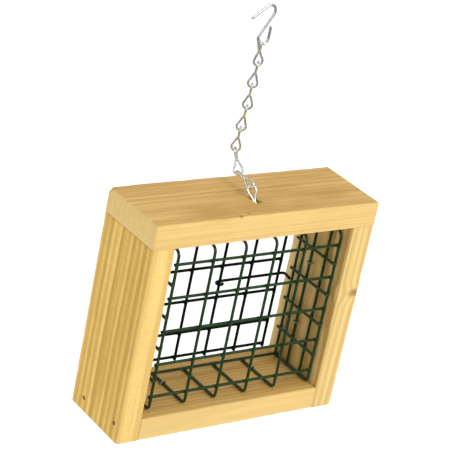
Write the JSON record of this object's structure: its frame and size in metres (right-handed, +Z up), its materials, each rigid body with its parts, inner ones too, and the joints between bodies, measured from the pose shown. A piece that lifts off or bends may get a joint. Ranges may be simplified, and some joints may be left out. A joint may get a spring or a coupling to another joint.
{
  "type": "hanging suet bird feeder",
  "caption": "Hanging suet feeder: a wooden board frame around a welded green wire cage with a hinged rear door, hung from a jack chain with a wire hook.",
  "frame": {"origin": "centre of the underside of the wooden frame", "axes": "+X to the right along the front, +Y to the rear where the cage door is, +Z up towards the chain"},
  "size_m": [0.1938, 0.0636, 0.3082],
  "materials": {
    "cedar": "sanded, unfinished",
    "green_wire": "semi-gloss vinyl coating",
    "nail_steel": "dull bright steel",
    "zinc": "bright zinc plating"
  },
  "bodies": {
    "frame": {"top_board": "cedar", "left_side_board": "cedar", "right_side_board": "cedar", "bottom_board": "cedar", "cage_uprights": "green_wire", "cage_crossbars": "green_wire", "cage_left_side_bars": "green_wire", "cage_left_side_uprights": "green_wire", "cage_right_side_bars": "green_wire", "cage_right_side_uprights": "green_wire", "cage_hinge_upright": "green_wire", "cage_rear_bottom_bar": "green_wire", "cage_rear_top_bar": "green_wire", "top_brads": "nail_steel", "bottom_brads": "nail_steel", "cage_staples": "nail_steel", "chain_eye": "zinc"},
    "door": {"door_uprights": "green_wire", "door_crossbars": "green_wire", "door_hinge_bars": "green_wire"},
    "latch": {"door_latch": "green_wire"},
    "link_1": {"chain_link_1": "zinc"},
    "link_2": {"chain_link_2": "zinc"},
    "link_3": {"chain_link_3": "zinc"},
    "link_4": {"chain_link_4": "zinc"},
    "link_5": {"chain_link_5": "zinc"},
    "link_6": {"chain_link_6": "zinc"},
    "link_7": {"chain_link_7": "zinc"},
    "hook": {"hanging_hook": "zinc"}
  },
  "joints": [
    {"name": "door_hinge", "type": "hinge", "parent": "frame", "child": "door", "pos_m": [-0.0675, 0.0199, 0.0759], "axis": [0, 0, 1], "range_deg": [0, 105]},
    {"name": "latch_pivot", "type": "hinge", "parent": "door", "child": "latch", "pos_m": [0.0074, 0.02008, 0.0891], "axis": [0, 0, 1], "range_deg": [0, 90]},
    {"name": "link_1_swing", "type": "hinge", "parent": "frame", "child": "link_1", "pos_m": [0, -0.00084, 0.17933], "axis": [1, 0, 0], "range_deg": [0, 100]},
    {"name": "link_2_swing", "type": "hinge", "parent": "link_1", "child": "link_2", "pos_m": [-0.00031, 0.01442, 0.18087], "axis": [0.6436, -0.6364, 0.4251], "range_deg": [-20, 15]},
    {"name": "link_3_swing", "type": "hinge", "parent": "link_2", "child": "link_3", "pos_m": [0.00019, 0.02554, 0.19676], "axis": [0.7649, 0.5159, -0.3857], "range_deg": [-20, 20]},
    {"name": "link_4_swing", "type": "hinge", "parent": "link_3", "child": "link_4", "pos_m": [-0.00086, 0.02269, 0.21141], "axis": [0.7745, -0.6276, -0.0797], "range_deg": [-20, 20]},
    {"name": "link_5_swing", "type": "hinge", "parent": "link_4", "child": "link_5", "pos_m": [0.00039, 0.02178, 0.23075], "axis": [0.6293, 0.7771, -0.0041], "range_deg": [-20, 20]},
    {"name": "link_6_swing", "type": "hinge", "parent": "link_5", "child": "link_6", "pos_m": [-0.00036, 0.02056, 0.24529], "axis": [0.7773, -0.6266, -0.0566], "range_deg": [-20, 20]},
    {"name": "link_7_swing", "type": "hinge", "parent": "link_6", "child": "link_7", "pos_m": [0.00001, 0.01927, 0.26464], "axis": [0.6288, 0.7765, 0.0395], "range_deg": [-20, 20]},
    {"name": "hook_swing", "type": "hinge", "parent": "link_7", "child": "hook", "pos_m": [-0.00332, 0.01798, 0.27871], "axis": [1, 0, 0], "range_deg": [-30, 15]}
  ]
}
